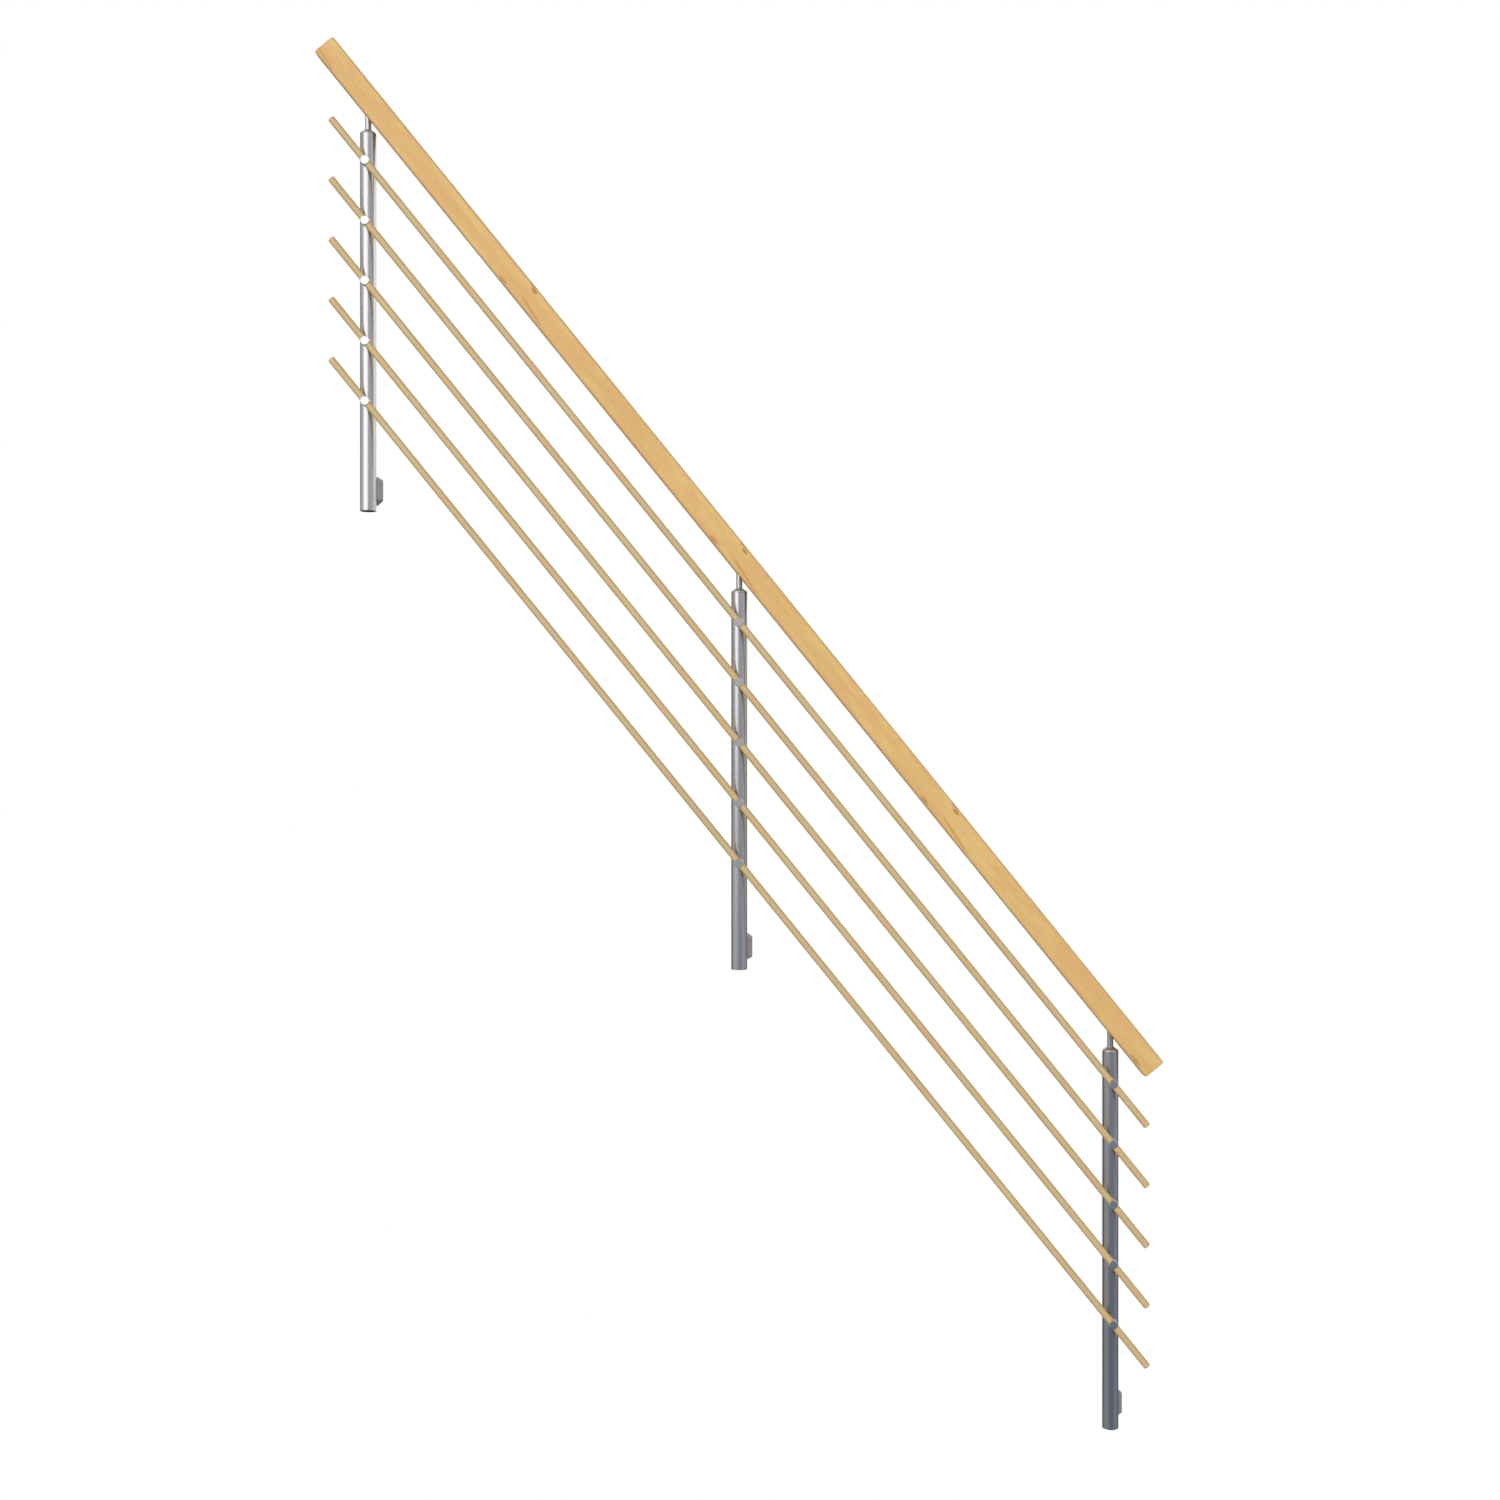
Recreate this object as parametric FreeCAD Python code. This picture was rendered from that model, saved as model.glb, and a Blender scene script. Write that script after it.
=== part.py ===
import FreeCAD
import Part
import math
import os

# Stair balustrade panel: three round tube posts carry a sloping timber handrail on pins, and five
# timber infill bars in round holders on their fronts. A bracket behind each post's foot is bolted
# to the side of the stair.
#
# Frame, in millimetres: +X runs down the flight, +Y points into the side of the stair and +Z is up.
# The origin is the middle of the seat face of the lowest bracket.

# The flight: horizontal and vertical distance from one post to the next
post_run = 972.0
post_rise = 1200.0
post_names = ["lower", "middle", "upper"]

# Clearances: round a piece that slides into a bore, and where a saddle sits on a tube
slip_fit = 0.2
saddle_fit = 0.2

# Posts
post_diameter = 42.4
post_wall = 2.0
post_edge_break = 0.4

# Post caps: a spigot in the tube, a low rim on the tube's end and a bottle shoulder up to a neck
# round the pin's socket. The shoulder's height is that of its straight flank with sharp corners.
cap_spigot_length = 25.0
cap_rim_height = 0.6
cap_shoulder_height = 7.8
cap_shoulder_radius = 7.0
cap_neck_radius = 2.5
cap_neck_wall = 0.6

# Handrail pins: they stand in a blind socket of the cap and end in a blind bore of the handrail
pin_diameter = 16.0
pin_socket_depth = 20.0
pin_exposed_length = 30.4
pin_depth_in_rail = 32.0
pin_end_chamfer = 1.0

# Handrail
rail_height = 62.0
rail_depth = 45.0
rail_edge_radius = 8.0
rail_end_radius = 5.0
rail_overhang = 112.5

# Infill bars: heights are upright distances at a post's axis
bar_count = 5
bar_diameter = 18.0
bar_pitch = 156.4
lowest_bar_height = 281.0
top_bar_below_post_end = 78.4
bar_overhang = 89.5
bar_end_chamfer = 1.2

# Bar holders: a short round block with a saddle on the post and a cross bore for the bar
holder_side_wall = 2.3
holder_back_wall = 2.1
holder_front_wall = 2.8
holder_edge_chamfer = 0.8

# Side brackets: a saddle round the back of the post, a wing whose face slants back from the post's
# downhill side, and a flat seat. From the wing's face the top and the bottom slope back to the full
# height. The face starts just inside the post's side, level with its axis.
bracket_height = 76.0
bracket_above_foot = 19.0
bracket_back_wall = 14.8
bracket_uphill_inset = 13.2
wing_face_inset = 0.6
wing_face_height = 51.2
wing_slope_run = 24.8
wing_reach = 13.3
wing_edge_thickness = 5.6
wing_back_bevel_depth = 12.4
wing_back_bevel_width = 14.5
wing_edge_radius = 1.5

# Two tapped holes in each seat, one above the other
bolt_hole_diameter = 6.8
bolt_hole_spacing = 40.0
bolt_hole_floor = 3.0

# Sizes that follow
slope = math.atan2(post_rise, post_run)
post_radius = post_diameter / 2
tube_bore_radius = post_radius - post_wall
post_length = lowest_bar_height + (bar_count - 1) * bar_pitch + top_bar_below_post_end
socket_radius = pin_diameter / 2 + slip_fit
neck_outer_radius = socket_radius + cap_neck_wall
shoulder_lean = math.atan2(post_radius - neck_outer_radius, cap_shoulder_height)
shoulder_foot = cap_rim_height + cap_shoulder_radius * math.tan(shoulder_lean / 2)
shoulder_top = shoulder_foot + cap_shoulder_height
cap_height = shoulder_top + cap_neck_radius * math.tan(shoulder_lean / 2)
rail_underside_height = post_length + cap_height + pin_exposed_length
rail_axis_height = rail_underside_height + rail_height / 2 / math.cos(slope)
bar_bore_radius = bar_diameter / 2 + slip_fit
bar_standoff = post_radius + holder_back_wall + bar_bore_radius
holder_radius = bar_bore_radius + holder_side_wall
holder_reach = bar_standoff + bar_bore_radius + holder_front_wall
seat_depth = post_radius + bracket_back_wall
seat_uphill = post_radius - bracket_uphill_inset
wing_tip = post_radius + wing_reach
seat_downhill = wing_tip - wing_back_bevel_width
seat_middle = (seat_downhill - seat_uphill) / 2
wing_face_start = post_radius - wing_face_inset
wing_edge_front = seat_depth - wing_back_bevel_depth - wing_edge_thickness
bracket_middle_height = bracket_above_foot + bracket_height / 2

up = FreeCAD.Vector(0, 0, 1)
to_stair = FreeCAD.Vector(0, 1, 0)
to_front = FreeCAD.Vector(0, -1, 0)
to_downhill_side = FreeCAD.Vector(1, 0, 0)
downhill = FreeCAD.Vector(math.cos(slope), 0, -math.sin(slope))


def post_foot(step):
    """Foot of the axis of the post that stands this many steps up from the lowest one."""
    x = -seat_middle - step * post_run
    z = -bracket_middle_height + step * post_rise
    return FreeCAD.Vector(x, -seat_depth, z)


def turned(edges):
    """Solid of revolution about Z from the edges of a closed outline in the XZ plane."""
    outline = Part.Face(Part.Wire(edges))
    return outline.revolve(FreeCAD.Vector(0, 0, 0), up, 360)


def line(start, end):
    """Edge between two (radius, height) points of a turned outline."""
    return Part.makeLine(FreeCAD.Vector(start[0], 0, start[1]), FreeCAD.Vector(end[0], 0, end[1]))


def turned_polygon(points):
    """Solid of revolution from the (radius, height) corners of a closed outline."""
    edges = [line(start, end) for start, end in zip(points, points[1:] + points[:1])]
    return turned(edges)


def stand(shape, base, axis):
    """Turn a shape that was made along Z so that it lies along an axis, starting at a base point."""
    shape.Placement = FreeCAD.Placement(base, FreeCAD.Rotation(up, axis))
    return shape


def make_post(foot):
    """Round tube, open at both ends, with its outer edges broken."""
    tube = turned_polygon([
        (tube_bore_radius, 0),
        (post_radius - post_edge_break, 0),
        (post_radius, post_edge_break),
        (post_radius, post_length - post_edge_break),
        (post_radius - post_edge_break, post_length),
        (tube_bore_radius, post_length),
    ])
    return stand(tube, foot, up)


def arc_at_corner(corner, turn, radius, bend):
    """Arc that rounds a corner where an outline turns from upright to leaning inwards.

    bend is 1 where it leaves the upright and -1 where it comes back to it.
    """
    tangent = radius * math.tan(turn / 2)
    upright_end = (corner[0], corner[1] - bend * tangent)
    leaning_end = (corner[0] - bend * tangent * math.sin(turn), corner[1] + bend * tangent * math.cos(turn))
    middle = (
        corner[0] - bend * radius * (1 - math.cos(turn / 2)),
        upright_end[1] + bend * radius * math.sin(turn / 2),
    )
    ends = [upright_end, leaning_end] if bend > 0 else [leaning_end, upright_end]
    points = [FreeCAD.Vector(x, 0, z) for x, z in (ends[0], middle, ends[1])]
    return ends, Part.Arc(*points).toShape()


def make_cap(foot):
    """Spigot, rim and bottle shoulder in one turned piece, with a blind socket for the pin."""
    spigot_radius = tube_bore_radius - slip_fit
    socket_floor = cap_height - pin_socket_depth
    rim_ends, rim_arc = arc_at_corner((post_radius, shoulder_foot), shoulder_lean, cap_shoulder_radius, 1)
    neck_ends, neck_arc = arc_at_corner((neck_outer_radius, shoulder_top), shoulder_lean, cap_neck_radius, -1)
    edges = [
        line((0, -cap_spigot_length), (spigot_radius, -cap_spigot_length)),
        line((spigot_radius, -cap_spigot_length), (spigot_radius, 0)),
        line((spigot_radius, 0), (post_radius - post_edge_break, 0)),
        line((post_radius - post_edge_break, 0), (post_radius, post_edge_break)),
        line((post_radius, post_edge_break), rim_ends[0]),
        rim_arc,
        line(rim_ends[1], neck_ends[0]),
        neck_arc,
        line(neck_ends[1], (socket_radius, cap_height)),
        line((socket_radius, cap_height), (socket_radius, socket_floor)),
        line((socket_radius, socket_floor), (0, socket_floor)),
        line((0, socket_floor), (0, -cap_spigot_length)),
    ]
    return stand(turned(edges), foot + up * post_length, up)


def rail_pin_base(foot):
    """Bottom of a handrail pin, on the floor of its socket."""
    return foot + up * (post_length + cap_height - pin_socket_depth)


def make_pin(foot):
    """Straight round pin with its ends broken."""
    radius = pin_diameter / 2
    length = pin_socket_depth + pin_exposed_length + pin_depth_in_rail
    pin = turned_polygon([
        (0, 0),
        (radius - pin_end_chamfer, 0),
        (radius, pin_end_chamfer),
        (radius, length - pin_end_chamfer),
        (radius - pin_end_chamfer, length),
        (0, length),
    ])
    return stand(pin, rail_pin_base(foot), up)


def along_flight(length_beyond):
    """Sloping length of a bar that runs past the outer posts by a horizontal distance at each end."""
    return ((len(post_names) - 1) * post_run + 2 * length_beyond) / math.cos(slope)


def upper_end(height, length_beyond):
    """Upper end of a sloping axis that crosses each post at a height over its foot."""
    top_foot = post_foot(len(post_names) - 1)
    return top_foot + up * height - downhill * (length_beyond / math.cos(slope))


def make_handrail():
    """Rectangular bar with its long edges and its ends rounded and a blind bore over each post."""
    length = along_flight(rail_overhang)
    corner = FreeCAD.Vector(-rail_height / 2, -rail_depth / 2, 0)
    rail = Part.makeBox(rail_height, rail_depth, length, corner)
    long_edges = [edge for edge in rail.Edges if edge.BoundBox.ZLength > length / 2]
    rail = rail.makeFillet(rail_edge_radius, long_edges)
    end_edges = [edge for edge in rail.Edges if edge.BoundBox.ZLength < length / 2]
    rail = rail.makeFillet(rail_end_radius, end_edges)
    rail = stand(rail, upper_end(rail_axis_height, rail_overhang), downhill)
    bore_start = rail_underside_height - rail_height
    bore_length = rail_height + pin_depth_in_rail + slip_fit
    for step in range(len(post_names)):
        bore_base = post_foot(step) + up * bore_start
        rail = rail.cut(Part.makeCylinder(socket_radius, bore_length, bore_base, up))
    return rail


def bar_height(number):
    """Height of a bar's axis over the foot of a post, at that post; the lowest bar is number 0."""
    return lowest_bar_height + number * bar_pitch


def make_bar(number):
    """Round bar with its ends broken, in front of the posts."""
    radius = bar_diameter / 2
    length = along_flight(bar_overhang)
    bar = turned_polygon([
        (0, 0),
        (radius - bar_end_chamfer, 0),
        (radius, bar_end_chamfer),
        (radius, length - bar_end_chamfer),
        (radius - bar_end_chamfer, length),
        (0, length),
    ])
    return stand(bar, upper_end(bar_height(number), bar_overhang) + to_front * bar_standoff, downhill)


def make_holder(foot, number):
    """Round block from the post to just past the bar, with its front edge broken."""
    axis_point = foot + up * bar_height(number)
    block = turned_polygon([
        (0, 0),
        (holder_radius, 0),
        (holder_radius, holder_reach - holder_edge_chamfer),
        (holder_radius - holder_edge_chamfer, holder_reach),
        (0, holder_reach),
    ])
    block = stand(block, axis_point, to_front)
    saddle = Part.makeCylinder(post_radius + saddle_fit, post_length, foot, up)
    bore_half = 2 * holder_radius
    bore_base = axis_point + to_front * bar_standoff - downhill * bore_half
    bore = Part.makeCylinder(bar_bore_radius, 2 * bore_half, bore_base, downhill)
    return block.cut(saddle).cut(bore)


def prism(corners, direction):
    """Solid swept from a closed polygon along a direction."""
    return Part.Face(Part.makePolygon(corners + corners[:1])).extrude(direction)


def is_wing_edge(edge, middle):
    """Whether a bracket's edge is one of its wing, off the seat, the uphill side and the post's axis."""
    box = edge.BoundBox
    off_seat = box.YMin < middle.y + seat_depth - wing_edge_radius
    off_uphill_side = box.XMin > middle.x - seat_uphill + wing_edge_radius
    behind_axis = box.YMax > middle.y + wing_edge_radius
    return off_seat and off_uphill_side and behind_axis


def make_bracket(foot):
    """Block where its plan and its view along the wing's face meet, with a saddle and two tapped holes.

    The edges of its wing are rounded; those of the seat and of the uphill side stay sharp.
    """
    middle = foot + up * bracket_middle_height
    half_height = bracket_height / 2
    half_face = wing_face_height / 2
    plan = [
        (-seat_uphill, 0),
        (-seat_uphill, seat_depth),
        (seat_downhill, seat_depth),
        (wing_tip, seat_depth - wing_back_bevel_depth),
        (wing_tip, wing_edge_front),
        (wing_face_start, 0),
    ]
    plan_corners = [middle + FreeCAD.Vector(x, y, -half_height) for x, y in plan]
    block = prism(plan_corners, up * bracket_height)
    along_face = FreeCAD.Vector(wing_tip - wing_face_start, wing_edge_front, 0).normalize()
    behind_face = FreeCAD.Vector(-along_face.y, along_face.x, 0)
    beyond_block = 2 * seat_depth
    half_in_front = 2 * half_face - half_height
    view_along_face = [
        (-wing_slope_run, -half_in_front),
        (wing_slope_run, -half_height),
        (beyond_block, -half_height),
        (beyond_block, half_height),
        (wing_slope_run, half_height),
        (-wing_slope_run, half_in_front),
    ]
    view_base = middle + to_downhill_side * wing_face_start - along_face * beyond_block
    view_corners = [view_base + behind_face * depth + up * z for depth, z in view_along_face]
    block = block.common(prism(view_corners, along_face * (2 * beyond_block)))
    wing_edges = [edge for edge in block.Edges if is_wing_edge(edge, middle)]
    block = block.makeFillet(wing_edge_radius, wing_edges)
    block = block.cut(Part.makeCylinder(post_radius + saddle_fit, post_length, foot, up))
    hole_depth = bracket_back_wall - bolt_hole_floor
    for side in (-1, 1):
        hole_mouth = middle + FreeCAD.Vector(seat_middle, seat_depth, side * bolt_hole_spacing / 2)
        block = block.cut(Part.makeCylinder(bolt_hole_diameter / 2, hole_depth, hole_mouth, to_front))
    return block


def make_parts():
    """All pieces by node name."""
    pieces = {"handrail": make_handrail()}
    for number in range(bar_count):
        pieces[f"infill_bar_{number + 1}"] = make_bar(number)
    for step, name in enumerate(post_names):
        foot = post_foot(step)
        pieces[f"post_{name}"] = make_post(foot)
        pieces[f"post_cap_{name}"] = make_cap(foot)
        pieces[f"handrail_pin_{name}"] = make_pin(foot)
        pieces[f"side_bracket_{name}"] = make_bracket(foot)
        for number in range(bar_count):
            pieces[f"bar_holder_{name}_{number + 1}"] = make_holder(foot, number)
    return pieces


os.makedirs("parts", exist_ok=True)
for node, shape in make_parts().items():
    shape.exportStep(f"parts/{node}.step")
    print(node, shape.isValid(), len(shape.Solids), round(shape.Volume / 1000, 2), "cm3")
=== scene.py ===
import math

import bmesh
import bpy
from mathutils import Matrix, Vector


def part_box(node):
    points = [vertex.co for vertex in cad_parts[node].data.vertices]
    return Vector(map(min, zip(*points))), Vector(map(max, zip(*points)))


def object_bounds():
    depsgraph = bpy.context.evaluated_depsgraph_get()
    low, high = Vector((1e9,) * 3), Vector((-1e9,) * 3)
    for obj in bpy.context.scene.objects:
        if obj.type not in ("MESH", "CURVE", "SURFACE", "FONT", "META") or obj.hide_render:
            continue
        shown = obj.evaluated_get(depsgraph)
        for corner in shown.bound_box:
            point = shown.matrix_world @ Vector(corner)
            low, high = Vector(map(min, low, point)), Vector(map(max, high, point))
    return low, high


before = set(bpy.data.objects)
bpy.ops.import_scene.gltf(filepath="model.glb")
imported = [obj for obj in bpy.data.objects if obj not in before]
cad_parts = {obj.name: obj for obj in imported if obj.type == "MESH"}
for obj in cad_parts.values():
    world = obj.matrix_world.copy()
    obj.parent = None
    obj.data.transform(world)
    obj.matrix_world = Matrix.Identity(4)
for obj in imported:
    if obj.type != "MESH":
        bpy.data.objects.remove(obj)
cad_low, cad_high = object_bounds()


# Posts: three lengths of round stainless tube, ground satin by a belt that ran round them, so the
# scratches go round the tube and its reflections smear up and down. Each stands in the saddle of a
# side bracket and is open at its foot, where the bore shows a rougher, dull mill skin whose colour
# is painted near black as painted shade inside the tube.
class Signal:
    """An output socket in a finish. Sums on it add Math nodes to that finish."""

    def __init__(self, finish, socket):
        self.finish = finish
        self.socket = socket

    def maths(self, operation, *others):
        return self.finish.node("Math", {"operation": operation}, dict(enumerate((self, *others))))

    def __add__(self, other):
        return self.maths("ADD", other)

    def __mul__(self, other):
        return self.maths("MULTIPLY", other)

    def __sub__(self, other):
        return self.maths("SUBTRACT", other)

    def __truediv__(self, other):
        return self.maths("DIVIDE", other)

    def __pow__(self, other):
        return self.maths("POWER", other)

    def __rsub__(self, other):
        return self * -1 + other


class Finish:
    """A material, or the world, that is made up node by node."""

    def __init__(self, name, owner=None):
        self.owner = owner or bpy.data.materials.new(name)
        self.owner.use_nodes = True
        self.tree = self.owner.node_tree

    def node(self, kind, settings=None, inputs=None, output=0):
        """Add a node, set its settings and then its sockets, and return one of its outputs."""
        added = self.tree.nodes.new("ShaderNode" + kind)
        for name, value in (settings or {}).items():
            if name == "stops":
                while len(added.color_ramp.elements) < len(value):
                    added.color_ramp.elements.new(1.0)
                for element, (position, colour) in zip(added.color_ramp.elements, value):
                    element.position = position
                    element.color = (*colour, 1.0)
            else:
                setattr(added, name, value)
        self.feed(added, inputs or {})
        return Signal(self, added.outputs[output])

    def feed(self, node, inputs):
        """Link or set sockets of a node by name or number."""
        for name, value in inputs.items():
            if isinstance(value, Signal):
                self.tree.links.new(value.socket, node.inputs[name])
            else:
                node.inputs[name].default_value = value

    def surface(self, **sockets):
        """Set the sockets of the surface; a low line in a name stands for a space."""
        named = {name.replace("_", " "): value for name, value in sockets.items()}
        self.feed(self.tree.nodes["Principled BSDF"], named)

    def place(self, turn=(0.0, 0.0, 0.0)):
        """Where a point is on the object, with the object turned about its origin."""
        point = self.node("TexCoord", output="Object")
        return self.node("Mapping", None, {"Vector": point, "Rotation": turn})

    def parts(self, vector):
        """The three numbers of a vector."""
        split = self.node("SeparateXYZ", None, {"Vector": vector})
        outputs = split.socket.node.outputs
        return [Signal(self, outputs[axis]) for axis in "XYZ"]

    def noise(self, scale, detail=2.0, roughness=0.5, at=None):
        """Cloudy values from 0 to 1, with a scale in features per metre along each axis."""
        stretched = self.node("Mapping", None, {"Vector": at or self.place(), "Scale": scale})
        inputs = {"Vector": stretched, "Scale": 1.0, "Detail": detail, "Roughness": roughness}
        return self.node("TexNoise", None, inputs)

    def step(self, value, start, end, low=0.0, high=1.0):
        """A smooth step from low to high while a value goes from start to end."""
        inputs = {"Value": value, "From Min": start, "From Max": end, "To Min": low, "To Max": high}
        return self.node("MapRange", {"interpolation_type": "SMOOTHSTEP"}, inputs)

    def blend(self, share, first, second):
        """A colour between two colours."""
        return self.node("Mix", {"data_type": "RGBA"}, {0: share, 6: first, 7: second}, output=2)

    def relief(self, height, depth):
        """Surface direction of a relief whose heights of 0 to 1 span a depth in metres."""
        return self.node("Bump", None, {"Strength": 1.0, "Distance": depth, "Height": height})

    def put_on(self, names):
        """Give the finish to CAD nodes."""
        for name in names:
            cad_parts[name].material_slots[0].material = self.owner


steps = ["lower", "middle", "upper"]
post_steel = Finish("satin_ground_tube")
belt_marks = post_steel.noise((40.0, 40.0, 2600.0), detail=3.0)
fine_marks = post_steel.noise((90.0, 90.0, 9000.0))
handling = post_steel.noise((9.0, 9.0, 5.0), detail=4.0)
steel_light = (0.66, 0.66, 0.675, 1.0)
steel_dark = (0.58, 0.58, 0.60, 1.0)
# Painted shade: the colour of the bore is near black, far darker than the steel, to stand in for the
# shade inside the open tube.
bore_painted_shade = (0.16, 0.16, 0.155, 1.0)
tube_wall = 0.002
post_low, post_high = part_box("post_lower")
post_axis = (post_low + post_high) / 2
post_radius = (post_high.x - post_low.x) / 2
post_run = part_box("post_lower")[0].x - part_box("post_middle")[0].x
post_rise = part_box("post_middle")[0].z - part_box("post_lower")[0].z
post_x, post_y, _ = post_steel.parts(post_steel.place())
beside_axis = (post_x - post_axis.x).maths("WRAP", post_run / 2, -post_run / 2)
from_post_axis = (beside_axis ** 2 + (post_y - post_axis.y) ** 2).maths("SQRT")
bore = post_steel.step(from_post_axis, post_radius - tube_wall / 2, post_radius - tube_wall)
ground_colour = post_steel.blend(belt_marks * 0.5 + handling * 0.5, steel_dark, steel_light)
post_steel.surface(
    Base_Color=post_steel.blend(bore, ground_colour, bore_painted_shade),
    Metallic=1.0,
    Roughness=belt_marks * 0.06 + handling * 0.05 + 0.26 + bore * 0.30,
    Anisotropic=0.3,
    Anisotropic_Rotation=0.25,
    Normal=post_steel.relief(belt_marks * 0.6 + fine_marks * 0.4, 0.000004),
)
post_steel.put_on(f"post_{step}" for step in steps)

# Post caps and handrail pins: turned from stainless bar, with the tool's fine rings left round
# them. A cap's spigot is glued into the tube, and the pin stands in the cap and in the handrail.
turned_steel = Finish("turned_and_polished")
tool_rings = turned_steel.noise((12.0, 12.0, 3600.0), detail=1.0)
polish = turned_steel.noise((60.0, 60.0, 60.0), detail=4.0)
turned_steel.surface(
    Base_Color=turned_steel.blend(polish, (0.62, 0.62, 0.635, 1.0), (0.70, 0.70, 0.71, 1.0)),
    Metallic=1.0,
    Roughness=tool_rings * 0.08 + polish * 0.08 + 0.30,
    Anisotropic=0.3,
    Anisotropic_Rotation=0.25,
    Normal=turned_steel.relief(tool_rings, 0.000008),
)
turned_steel.put_on(f"post_cap_{step}" for step in steps)
turned_steel.put_on(f"handrail_pin_{step}" for step in steps)

# Side brackets: aluminium castings, blasted matt and powder coated silver grey, that hold the feet
# of the posts. Screws from behind pull their flat backs against the side of the stair.
cast_metal = Finish("blasted_casting")
blast_grain = cast_metal.noise((1500.0, 1500.0, 1500.0))
skin = cast_metal.noise((70.0, 70.0, 70.0), detail=5.0, roughness=0.6)
cast_metal.surface(
    Base_Color=cast_metal.blend(skin, (0.325, 0.305, 0.34, 1.0), (0.385, 0.365, 0.40, 1.0)),
    Metallic=0.2,
    Roughness=skin * 0.14 + blast_grain * 0.10 + 0.38,
    Normal=cast_metal.relief(blast_grain, 0.00002),
)
cast_metal.put_on(f"side_bracket_{step}" for step in steps)

# Handrail: one straight bar of light, straight-grown hardwood with a few small knots, moulded with
# rounded edges and finished with clear satin lacquer. It is bored from below and sits on the pins.
slope = math.atan2(post_rise, post_run)


def middle_across(node):
    """Where the axis of a sloping bar lies square to the slope, and how deep it lies."""
    low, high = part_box(node)
    middle = (low + high) / 2
    return middle.x * math.sin(slope) + middle.z * math.cos(slope), middle.y


rail_middle_across, rail_middle_y = middle_across("handrail")


def timber_grain(finish, across_middle, depth_middle, pith_across, pith_depth, swell):
    """Growth rings about a pith beside the bar, fibres, flecks and slow drifts of colour."""
    lengthwise = finish.place((0.0, -slope, 0.0))
    _, depth, across = finish.parts(lengthwise)
    wander_width = 0.010
    wander = finish.noise((1.6, 14.0, 14.0), at=lengthwise) * wander_width
    ripple_width = 0.0012
    ripple = finish.noise((9.0, 90.0, 90.0), at=lengthwise) * ripple_width
    from_pith_across = across - (across_middle + pith_across) + swell
    from_pith_depth = depth - (depth_middle + pith_depth)
    radius = (from_pith_across ** 2 + from_pith_depth ** 2).maths("SQRT")
    ring_width = 0.0034
    rings = (radius + wander + ripple) / ring_width
    late_wood = rings.maths("FRACT") ** 5
    drift = finish.noise((2.6, 34.0, 34.0), detail=3.0, roughness=0.55, at=lengthwise)
    blush = finish.noise((13.0, 42.0, 42.0), detail=1.0, at=lengthwise)
    streaks = finish.noise((5.0, 210.0, 210.0), at=lengthwise)
    fibres = finish.noise((28.0, 2400.0, 2400.0), at=lengthwise)
    flecks = finish.step(finish.noise((90.0, 1000.0, 1000.0), detail=0.0, at=lengthwise), 0.72, 0.80)
    return late_wood, drift, blush, streaks, fibres, flecks


def timber_colour(finish, late_wood, drift, blush, streaks, fibres, flecks):
    """Straw to honey with a rosy blush, warmer late wood, faint reddish streaks and brown flecks."""
    straw = (0.750, 0.520, 0.202, 1.0)
    honey = (0.680, 0.420, 0.158, 1.0)
    rosy = (0.725, 0.430, 0.178, 1.0)
    warm = (0.60, 0.330, 0.110, 1.0)
    brown = (0.36, 0.19, 0.075, 1.0)
    colour = finish.blend(finish.step(drift, 0.34, 0.70), straw, honey)
    colour = finish.blend(finish.step(blush, 0.42, 0.64) * 0.8, colour, rosy)
    colour = finish.blend(late_wood * 0.22, colour, warm)
    colour = finish.blend(finish.step(streaks, 0.58, 0.80) * 0.30, colour, warm)
    colour = finish.blend(finish.step(fibres, 0.55, 0.80) * 0.07, colour, brown)
    return finish.blend(flecks * 0.45, colour, brown)


def lacquer(finish, colour, drift, fibres, flecks):
    """Clear satin lacquer over a colour of wood. Fibres and flecks sink into it a little."""
    finish.surface(
        Base_Color=colour,
        Roughness=fibres * 0.12 + drift * 0.06 + 0.36,
        Specular_IOR_Level=0.3,
        Coat_Weight=0.05,
        Coat_Roughness=0.25,
        Normal=finish.relief(1 - fibres * 0.7 - flecks * 0.3, 0.00002),
    )


rail_wood = Finish("lacquered_rail_timber")
knot_spacing = 0.8735
knot_along = -3.216
rail_place = rail_wood.place((0.0, -slope, 0.0))
rail_along, rail_depth, rail_across = rail_wood.parts(rail_place)
rail_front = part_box("handrail")[0].y
mark_depth = 0.022
feather = rail_wood.noise((60.0, 160.0, 160.0), detail=3.0, at=rail_place)


def mark(past_knot, across_middle, half_length, half_height, fall=0.0):
    """A feathery oval in the rail's front, 1 at its middle, that comes again at each knot spacing.

    It goes in as far as the mark depth. fall is how much it falls across the rail for each metre
    that it runs down the rail.
    """
    half = knot_spacing / 2
    beside = (rail_along - (knot_along + past_knot)).maths("WRAP", half, -half)
    above = rail_across - (rail_middle_across + across_middle) + beside * fall
    inwards = (rail_depth - rail_front) / mark_depth
    reach = ((beside / half_length) ** 2 + (above / half_height) ** 2 + inwards ** 2).maths("SQRT")
    return rail_wood.step(reach + (feather - 0.5), 1.2, 0.6)


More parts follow.
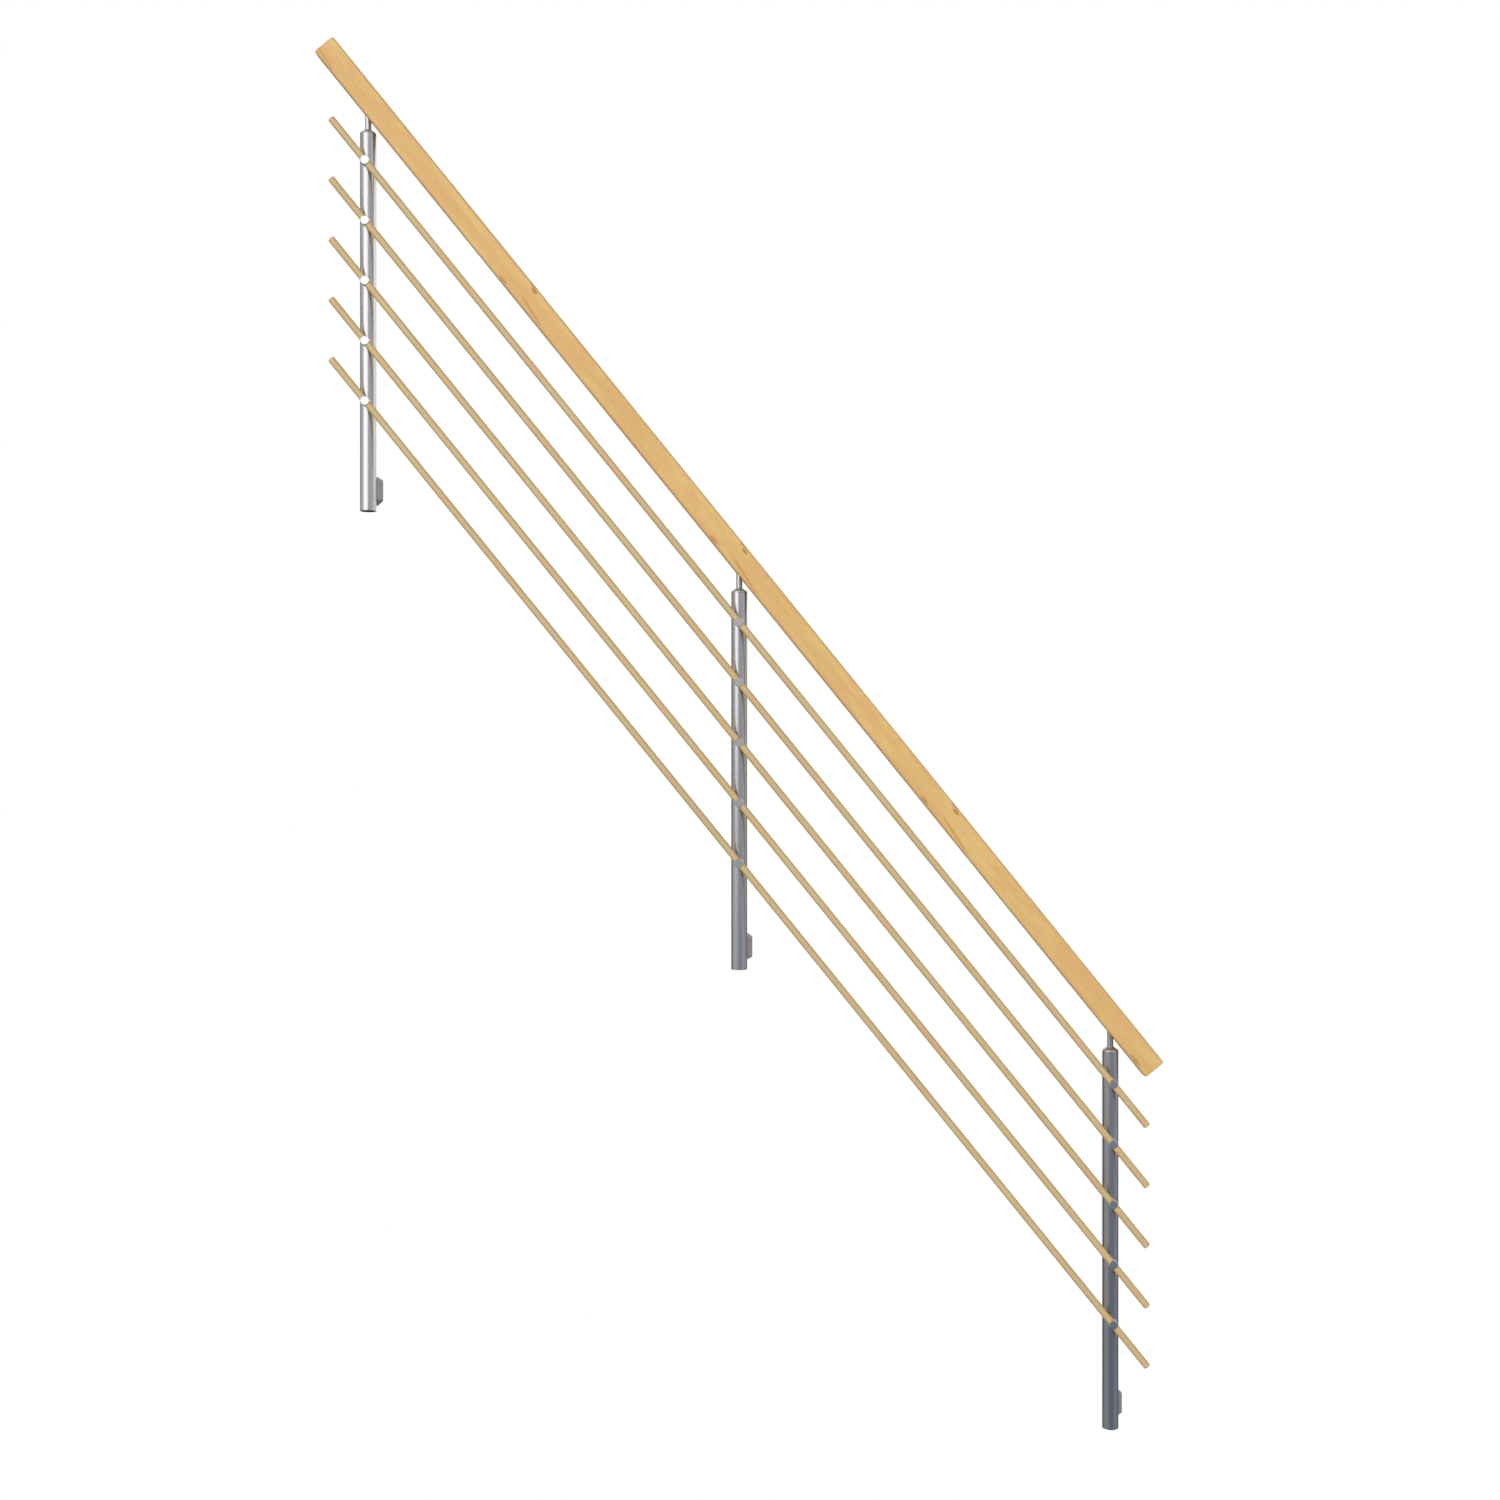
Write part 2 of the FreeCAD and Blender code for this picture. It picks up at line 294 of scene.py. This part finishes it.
knot = mark(0.0, 0.0205, 0.011, 0.0042)
edge_knot = mark(-0.012, 0.0285, 0.014, 0.0045)
swell_height = 0.006
knot_swell = mark(0.0, 0.022, 0.045, 0.015) * swell_height
bark_streak = mark(-0.075, -0.0235, 0.018, 0.0050)
curl = mark(0.036, -0.0180, 0.060, 0.0035, fall=0.11)
late_wood, drift, blush, streaks, fibres, flecks = timber_grain(
    rail_wood, rail_middle_across, rail_middle_y, pith_across=0.052, pith_depth=0.075, swell=knot_swell
)
rail_colour = timber_colour(rail_wood, late_wood, drift, blush, streaks, fibres, flecks)
rail_colour = rail_wood.blend(curl * 0.60, rail_colour, (0.50, 0.250, 0.065, 1.0))
rail_colour = rail_wood.blend(bark_streak * 0.55, rail_colour, (0.42, 0.190, 0.050, 1.0))
rail_colour = rail_wood.blend(edge_knot * 0.45, rail_colour, (0.40, 0.200, 0.095, 1.0))
rail_colour = rail_wood.blend(knot * 0.80, rail_colour, (0.36, 0.190, 0.050, 1.0))
lacquer(rail_wood, rail_colour, drift, fibres, flecks)
rail_wood.put_on(["handrail"])

# Infill bars: five turned dowels of the same timber and lacquer. They run through the holders in
# front of the posts, and each was cut from another place in the plank.
first_bar_across, bar_middle_y = middle_across("infill_bar_1")
bar_wood = Finish("lacquered_bar_timber")
late_wood, drift, blush, streaks, fibres, flecks = timber_grain(
    bar_wood, first_bar_across, bar_middle_y, pith_across=0.90, pith_depth=0.31, swell=0.0
)
bar_colour = timber_colour(bar_wood, late_wood, drift, blush, streaks, fibres, flecks)
pale_sapwood = (0.518, 0.472, 0.303, 1.0)
sapwood_share = bar_wood.step(blush, 0.40, 0.62, low=0.53, high=0.36)
bar_colour = bar_wood.blend(sapwood_share, bar_colour, pale_sapwood)
lacquer(bar_wood, bar_colour, drift, fibres, flecks)
bar_wood.put_on(f"infill_bar_{number}" for number in range(1, 6))

# Bar holders: short blocks turned from stainless bar, faced flat in front, saddled on the post and
# cross bored for the bar. The facing tool leaves rings about the middle of each front.
holder_low, holder_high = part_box("bar_holder_lower_1")
holder_x = (holder_low.x + holder_high.x) / 2
holder_z = (holder_low.z + holder_high.z) / 2
bar_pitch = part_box("bar_holder_lower_2")[0].z - holder_low.z
faced_steel = Finish("faced_and_polished")
place_x, _, place_z = faced_steel.parts(faced_steel.place())
from_axis = (place_x - holder_x).maths("WRAP", post_run / 2, -post_run / 2)
step_up = (from_axis - (place_x - holder_x)) / post_run
above_first = place_z - holder_z - step_up * post_rise
from_middle = above_first.maths("WRAP", bar_pitch / 2, -bar_pitch / 2)
facing_radius = (from_axis ** 2 + from_middle ** 2).maths("SQRT")
facing_rings = faced_steel.node(
    "TexNoise", {"noise_dimensions": "1D"}, {"W": facing_radius, "Scale": 3200.0}
)
polish = faced_steel.noise((60.0, 60.0, 60.0), detail=4.0)
faced_steel.surface(
    Base_Color=faced_steel.blend(polish, (0.70, 0.685, 0.67, 1.0), (0.78, 0.765, 0.735, 1.0)),
    Metallic=1.0,
    Roughness=facing_rings * 0.08 + polish * 0.08 + 0.28,
    Normal=faced_steel.relief(facing_rings, 0.000002),
)
faced_steel.put_on(f"bar_holder_{step}_{number}" for step in steps for number in range(1, 6))

# Floor: a plain pale studio floor well below the panel, which hangs clear of it.
floor_height = -0.9
floor_mesh = bmesh.new()
floor_corners = [(-3.6, -1.4), (1.7, -1.4), (1.7, 1.3), (-3.6, 1.3)]
floor_mesh.faces.new([floor_mesh.verts.new((x, y, floor_height)) for x, y in floor_corners])
floor = bpy.data.objects.new("studio_floor", bpy.data.meshes.new("studio_floor"))
floor_mesh.to_mesh(floor.data)
floor_mesh.free()
bpy.context.scene.collection.objects.link(floor)
floor_paint = Finish("studio_floor_paint")
seen = floor_paint.node("LightPath", output="Is Camera Ray")
floor_paint.surface(
    Base_Color=(0.36, 0.36, 0.36, 1.0),
    Roughness=0.9,
    Emission_Color=floor_paint.blend(seen, (0.0, 0.0, 0.0, 1.0), (0.78, 0.78, 0.78, 1.0)),
    Emission_Strength=1.0,
)
floor.data.materials.append(floor_paint.owner)

# Light: plain white to the camera. The metal shows a room with a dark ground that is dim behind the
# panel, with a pale wall downhill, a faint window uphill and a soft box. Two broad even lamps light
# the front and back.
studio = Finish("studio", bpy.data.worlds.new("studio"))
bpy.context.scene.world = studio.owner
ray = studio.node("TexCoord", output="Generated")
ray_x, ray_y, ray_z = studio.parts(ray)
side_lift = studio.step(ray_x.maths("ABSOLUTE"), 0.40, 0.95) * 0.06
room = studio.node("ValToRGB", {"stops": [
    (0.000, (0.10, 0.10, 0.11)),
    (0.250, (0.02, 0.045, 0.07)),
    (0.334, (0.04, 0.09, 0.14)),
    (0.369, (0.10, 0.14, 0.195)),
    (0.400, (0.19, 0.21, 0.27)),
    (0.455, (0.32, 0.35, 0.40)),
    (0.494, (0.44, 0.45, 0.51)),
    (0.530, (0.56, 0.53, 0.55)),
    (0.584, (0.55, 0.54, 0.58)),
    (0.653, (0.57, 0.56, 0.57)),
    (1.000, (0.38, 0.38, 0.38)),
]}, {"Fac": ray_z * 0.5 + 0.5 + side_lift})
dim_back = studio.step(ray_y, 0.10, 0.55) * 0.78
room = studio.blend(dim_back, room, (0.0, 0.0, 0.0, 1.0))
downhill = studio.step(ray_x, 0.45, 0.85)
pale_wall = downhill * studio.step(ray_z, 0.02, 0.25) * studio.step(ray_y, -0.50, 0.10)
room = studio.blend(pale_wall, room, (1.75, 1.74, 1.68, 1.0))
window_side = studio.step(ray_x, -0.10, -0.60) * studio.step(ray_y, 0.30, -0.50)
window_glow = studio.step(ray_z, -0.31, -0.20) * 0.13 + studio.step(ray_z, -0.10, 0.03) * 0.30
room = studio.blend(window_side * window_glow, room, (0.95, 0.94, 0.95, 1.0))
behind_low = studio.step(ray_y, 0.76, 0.92)
behind_high = studio.step(ray_y, 0.58, 0.84) * studio.step(ray_z, -0.02, 0.12)
behind = behind_low.maths("MAXIMUM", behind_high)
light_path = studio.node("LightPath").socket.node.outputs
camera_ray = Signal(studio, light_path["Is Camera Ray"])
glossy_ray = Signal(studio, light_path["Is Glossy Ray"])
diffuse_ray = Signal(studio, light_path["Is Diffuse Ray"])
through_ray = Signal(studio, light_path["Is Transmission Ray"])
fill = studio.blend(ray_z * 0.5 + 0.5, (0.36, 0.36, 0.36, 1.0), (0.06, 0.06, 0.06, 1.0))
room = studio.blend(diffuse_ray, room, fill)
white = camera_ray.maths("MAXIMUM", (glossy_ray * behind).maths("MAXIMUM", through_ray))
shown = studio.blend(white, room, (1.0, 1.0, 1.0, 1.0))
studio.feed(studio.tree.nodes["Background"], {"Color": shown, "Strength": 1.0})


def lamp(name, kind, place, turn):
    """A lamp on its stand, out of the camera's sight; unturned, it shines straight down."""
    data = bpy.data.lights.new(name, kind)
    stand = bpy.data.objects.new(name, data)
    stand.location = place
    stand.rotation_euler = turn
    stand.visible_camera = False
    bpy.context.scene.collection.objects.link(stand)
    return stand


panel_middle = (cad_low + cad_high) / 2
keys = [("front_key", 3.0, 0.0, 0.80), ("back_key", 25.0, 180.0, 0.85)]
for name, elevation, bearing, level in keys:
    turn = (math.radians(90.0 - elevation), 0.0, math.radians(bearing))
    key = lamp(name, "SUN", panel_middle, turn)
    key.data.angle = math.radians(40.0)
    key.data.energy = math.pi * level
    key.visible_glossy = False

box_place = (-3.595, -2.8, 3.50)
box_width = 3.81
box_height = 3.4
box_radiance = 1.15
soft_box = lamp("soft_box", "AREA", box_place, (math.radians(90.0), 0.0, 0.0))
soft_box.data.shape = "RECTANGLE"
soft_box.data.size = box_width
soft_box.data.size_y = box_height
soft_box.data.energy = math.pi * box_width * box_height * box_radiance
soft_box.visible_diffuse = False

# Camera: level and square to the panel, as far off as the picture's perspective shows.
picture_width = 1500
focal_length = 1755.6
camera_data = bpy.data.cameras.new("camera")
camera_data.sensor_width = 36.0
camera_data.lens = camera_data.sensor_width * focal_length / picture_width
camera = bpy.data.objects.new("camera", camera_data)
camera.location = (-0.9497, -4.636, 1.7173)
camera.rotation_euler = (math.pi / 2, 0.0, 0.0)
bpy.context.scene.collection.objects.link(camera)
bpy.context.scene.camera = camera
bpy.context.scene.view_settings.view_transform = "Standard"
